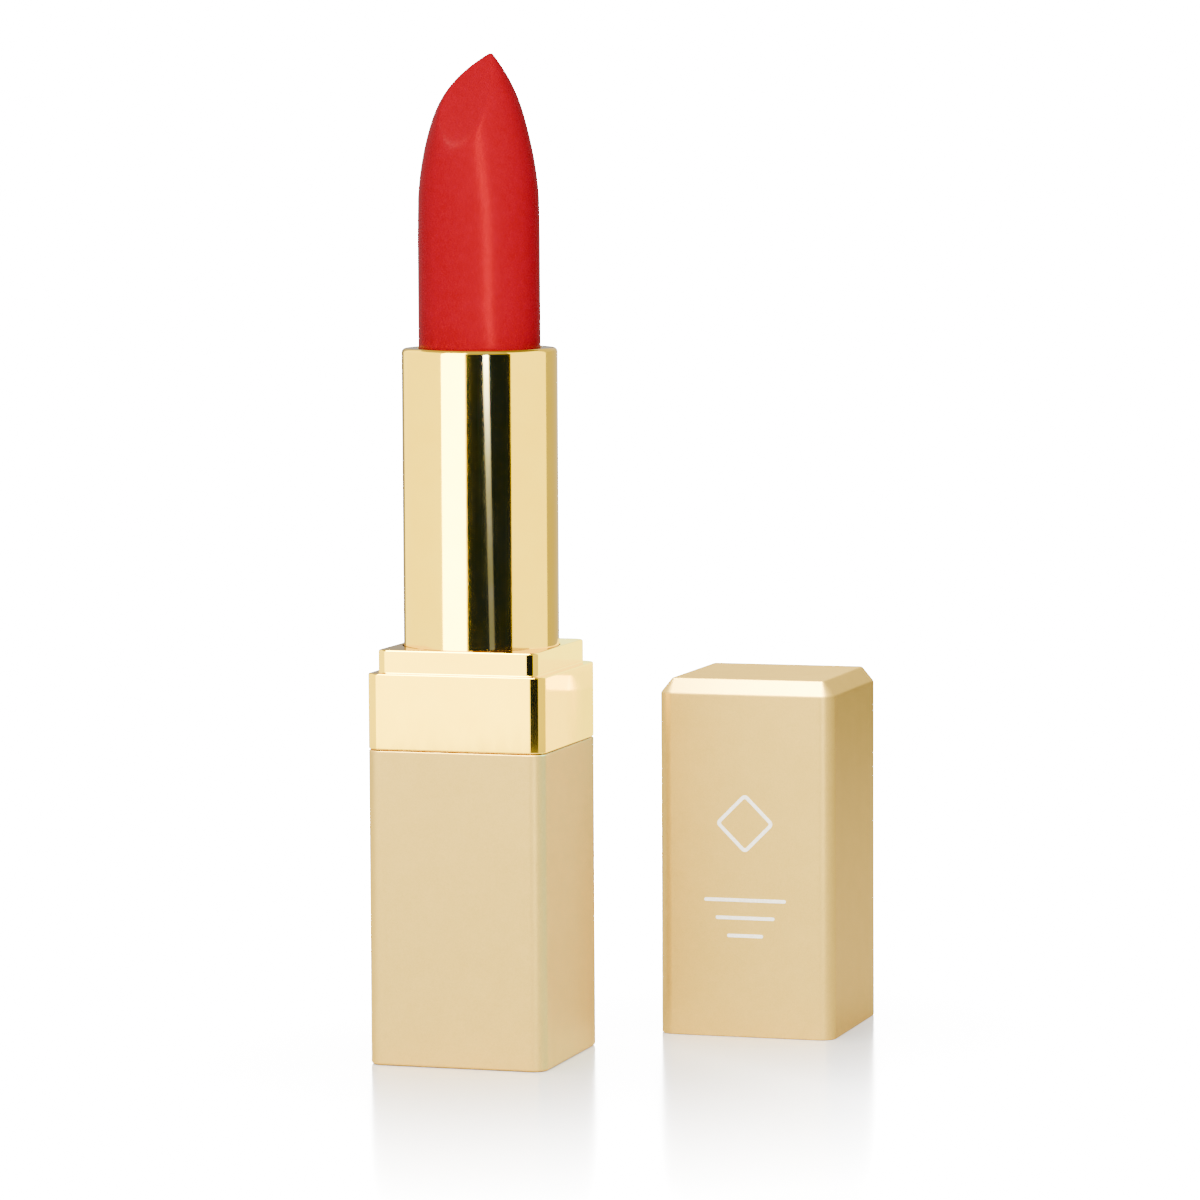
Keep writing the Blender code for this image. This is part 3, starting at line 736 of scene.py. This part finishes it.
def glowing(name, strength, colour=WHITE, first_bounce_only=False, fade=None):
    """A material that lets everything through and adds light of its own.

    Bounces count from 0 for the camera's own ray. A fade is (level, fall, least): the light at
    the level is 1 plus the least, and each fall above or below it multiplies or divides the
    first of the two by e.
    """
    material = bpy.data.materials.new(name)
    material.use_nodes = True
    glow = Nodes(material.node_tree)
    glow.tree.nodes.clear()
    shine = glow.node("ShaderNodeEmission")
    shine.inputs["Strength"].default_value = strength
    shine.inputs["Color"].default_value = (*colour, 1)
    both = glow.node("ShaderNodeAddShader")
    glow.link(shine.outputs[0], both.inputs[0])
    glow.link(glow.node("ShaderNodeBsdfTransparent").outputs[0], both.inputs[1])
    glow.link(both.outputs[0], glow.node("ShaderNodeOutputMaterial").inputs["Surface"])
    if first_bounce_only:
        depth = glow.node("ShaderNodeLightPath").outputs["Ray Depth"]
        first = glow.math("LESS_THAN", depth, FIRST_BOUNCE + 0.5)
        glow.link(glow.math("MULTIPLY", first, strength), shine.inputs["Strength"])
        material.cycles.emission_sampling = "NONE"
    if fade:
        level, fall, least = fade
        split = glow.node("ShaderNodeSeparateXYZ")
        glow.link(glow.node("ShaderNodeTexCoord").outputs["Object"], split.inputs[0])
        falls = glow.math("DIVIDE", glow.math("SUBTRACT", split.outputs["Z"], level), fall)
        faded = glow.math("ADD", glow.math("EXPONENT", falls), least)
        glow.link(glow.math("MULTIPLY", faded, strength), shine.inputs["Strength"])
    return material


def light_only(lamp, name, receivers, left_out=()):
    """Limit a lamp or a card to some pieces, or keep it off some."""
    linked = bpy.data.collections.new(f"{name} receivers")
    for piece in (*receivers, *left_out):
        linked.objects.link(piece)
    for entry in list(linked.collection_objects)[len(receivers):]:
        entry.light_linking.link_state = "EXCLUDE"
    lamp.light_linking.receiver_collection = linked


def curved_card(
    name, bearings, material, receivers, levels=CARD_LEVELS, radius=CARD_RADIUS, steps=24, lean=0.0
):
    """A stretch of a cylinder round the object, seen only in the receivers' gloss.

    The lean is how far its top is turned to the left of its foot, in degrees.
    """
    shape = bmesh.new()
    columns = []
    for step in range(steps + 1):
        bearing = bearings[0] + (bearings[1] - bearings[0]) * step / steps
        foot = facing(bearing) * radius + Vector((0, 0, levels[0]))
        top = facing(bearing - lean) * radius + Vector((0, 0, levels[1]))
        columns.append([shape.verts.new(foot), shape.verts.new(top)])
    for left, right in zip(columns, columns[1:]):
        shape.faces.new((left[0], right[0], right[1], left[1]))
    mesh = bpy.data.meshes.new(name)
    shape.to_mesh(mesh)
    shape.free()
    mesh.materials.append(material)
    card = bpy.data.objects.new(name, mesh)
    bpy.context.scene.collection.objects.link(card)
    card.visible_camera = False
    card.visible_shadow = False
    card.visible_diffuse = False
    light_only(card, name, receivers)


def make_floor():
    """A pale glossy floor, just large enough for every view."""
    radius, steps = 270 * MM, 96
    shape = bmesh.new()
    bmesh.ops.create_circle(shape, cap_ends=True, segments=steps, radius=radius)
    mesh = bpy.data.meshes.new("floor")
    shape.to_mesh(mesh)
    shape.free()
    floor = bpy.data.objects.new("floor", mesh)
    bpy.context.scene.collection.objects.link(floor)
    dress(floor, pale_floor())
    return floor


def softbox(name, bearing, elevation, distance, side, power, receivers=(), left_out=()):
    """A rectangular area light that faces the object."""
    data = bpy.data.lights.new(name, "AREA")
    data.shape = "RECTANGLE"
    data.size, data.size_y = side
    data.energy = power
    light = bpy.data.objects.new(name, data)
    direction = facing(bearing) * cos(radians(elevation)) + Vector((0, 0, sin(radians(elevation))))
    light.location = LAMP_AIM + direction * distance
    light.rotation_mode = "QUATERNION"
    light.rotation_quaternion = direction.to_track_quat("Z", "Y")
    light.visible_camera = False
    bpy.context.scene.collection.objects.link(light)
    if receivers or left_out:
        light_only(light, name, receivers, left_out)
    return light


def round_the_horizon(world, share, strengths):
    """A brightness that changes with the bearing, given as a share of a full turn."""
    bands = world.node("ShaderNodeValToRGB")
    ramp = bands.color_ramp
    ramp.interpolation = "LINEAR"
    highest = max(strength for _, strength in strengths)
    while len(ramp.elements) < len(strengths):
        ramp.elements.new(0.5)
    for element, (bearing, strength) in zip(ramp.elements, strengths):
        element.position = (bearing + 180) / 360
        element.color = (*[strength / highest] * 3, 1)
    world.link(share, bands.inputs[0])
    return world.math("MULTIPLY", bands.outputs["Color"], highest)


def mixed_numbers(world, share, first, second):
    """A number between two, where share 0 is the first and share 1 the second."""
    mix = world.node("ShaderNodeMix", data_type="FLOAT")
    world.link(share, mix.inputs[0])
    world.link(first, mix.inputs[2])
    if isinstance(second, float):
        mix.inputs[3].default_value = second
    else:
        world.link(second, mix.inputs[3])
    return mix.outputs[0]


def make_world():
    """A white backdrop, and a studio round the object that its gloss shows as bands."""
    bpy.context.scene.world = bpy.data.worlds.new("studio")
    bpy.context.scene.world.use_nodes = True
    world = Nodes(bpy.context.scene.world.node_tree)
    world.tree.nodes.clear()
    turned = world.node("ShaderNodeVectorRotate", rotation_type="Z_AXIS")
    turned.inputs["Angle"].default_value = -CAMERA_AZIMUTH
    world.link(world.node("ShaderNodeTexCoord").outputs["Generated"], turned.inputs["Vector"])
    split = world.node("ShaderNodeSeparateXYZ")
    world.link(turned.outputs["Vector"], split.inputs[0])
    towards = world.math("MULTIPLY", split.outputs["Y"], -1)
    bearing = world.math("ARCTAN2", split.outputs["X"], towards)
    share = world.spread(bearing, 0.0, 1.0, -pi, pi)
    ends = (HORIZON_TOP, OVERHEAD_FOOT)
    height = world.spread(split.outputs["Z"], 0.0, 1.0, *ends, interpolation_type="SMOOTHSTEP")
    horizon = round_the_horizon(world, share, HORIZON)
    studio = mixed_numbers(world, height, horizon, round_the_horizon(world, share, OVERHEAD))
    camera_ray = world.node("ShaderNodeLightPath").outputs["Is Camera Ray"]
    background = world.node("ShaderNodeBackground")
    world.link(mixed_numbers(world, camera_ray, studio, BACKGROUND), background.inputs["Strength"])
    world.link(background.outputs[0], world.node("ShaderNodeOutputWorld").inputs["Surface"])


def make_cards(pieces, floor):
    """Glowing cards, each linked to the pieces whose gloss it is for."""
    tube, collar, bullet = pieces["tube"], pieces["collar"], pieces["bullet"]
    painted = (pieces["base"], pieces["cap"])
    # Each is a name, its first and last bearing, its strength, its colour and its receivers
    for name, bearings, strength, colour, receivers in (
        ("left_card", (-149, -18.5), 3.1, GOLDEN, (tube, collar)),
        ("collar_card", (-60, -12), 5.0, GOLDEN, (collar,)),
        ("tube_card", (-57, -20.5), 22.0, (1.0, 1.0, 0.8), (tube,)),
        ("dark_card", (-18.5, 45), 0.02, (0.0, 0.5, 8.0), (tube, collar)),
        ("tube_right_card", (47, 115), 3.5, GOLDEN, (tube,)),
        ("tube_edge_card", (115, 172), 0.8, WHITE, (tube,)),
        ("collar_right_card", (47, 160), 1.6, GOLDEN, (collar,)),
        ("front_card", (-75, -15), 3.2, WHITE, painted),
        ("edge_strip", (6, 22), 10.0, WHITE, painted),
    ):
        curved_card(name, bearings, glowing(name, strength, colour), receivers)
    strip = glowing("bullet_strip", 230.0)
    curved_card("bullet_strip", (25, 36.5), strip, (bullet,), lean=39.0)
    fading = glowing("tube_strip", 1.0, (0.75, 1.0, 8.0), fade=(42.6 * MM, 5.0 * MM, 0.33))
    curved_card("tube_strip", (14.8, 22.2), fading, (tube,), (0.0, 62 * MM), lean=8.9)
    fill = glowing("collar_fill", 3.4, (0.85, 1.0, 0.2))
    curved_card("collar_fill", (55, 190), fill, (collar,), (20 * MM, 60 * MM), 13.1 * MM)
    backdrop = glowing("backdrop_glow", 34.0, first_bounce_only=True)
    curved_card("backdrop", (0, 360), backdrop, (floor,), (0.0, 420 * MM), 600 * MM, steps=96)
    lip = glowing("lip_card", 100.0)
    curved_card("lip_card", (-75, -35), lip, (bullet,), (275 * MM, 320 * MM))


def make_lamps(pieces, floor):
    """Area lights for the paint, the floor and the wax."""
    bullet, tube, base = pieces["bullet"], pieces["tube"], pieces["base"]
    softbox("top_box", -30, 68, 420 * MM, (0.36, 0.30), 20.0, left_out=(bullet, tube, floor))
    softbox("floor_box", 0, 80, 600 * MM, (0.6, 0.6), 12.4, receivers=(floor,))
    side_box = softbox("side_box", 95, 30, 400 * MM, (0.2, 0.2), 10.0, receivers=(base,))
    side_box.data.color = (0.08, 0.38, 1.0)
    for name, bearing, elevation, power in (
        ("bullet_box", -22, 35, 5.7),
        ("bullet_fill", 60, 20, 2.8),
        ("bullet_back", 180, 35, 2.5),
    ):
        lamp = softbox(name, bearing, elevation, 500 * MM, (0.25, 0.25), power, receivers=(bullet,))
        lamp.visible_glossy = False


# ---------------------------------------------------------------- scene

pieces = {
    "base": make_base(),
    "collar": make_collar(),
    "tube": make_tube(),
    "bullet": make_bullet(),
    "cap": make_cap(),
    "mark": make_cap_mark(),
    "label": make_label(),
}

paint = champagne_paint()
natural = moulded_plastic("natural_plastic", (0.66, 0.65, 0.61), (0.76, 0.75, 0.71), 0.35)
ivory = moulded_plastic("ivory_plastic", (0.58, 0.51, 0.40), (0.66, 0.59, 0.47), 0.45)
finishes = {
    "base": paint,
    "cap": paint,
    "collar": polished_gold("metallised_gold"),
    "tube": polished_gold("anodised_gold"),
    "bullet": red_wax(),
    "mark": printed_ink(),
    "label": label_paper(),
}
for name, material in finishes.items():
    dress(pieces[name], material)
for name, material in (
    ("base_weight", drawn_steel()),
    ("base_liner", ivory),
    ("guide_tube", natural),
    ("spiral_sleeve", natural),
    ("bullet_cup", natural),
    ("drag_ring", soft_rubber()),
    ("cap_liner", ivory),
):
    dress(frame["nodes"][name], material)

make_camera()
make_world()
floor = make_floor()
make_cards(pieces, floor)
make_lamps(pieces, floor)
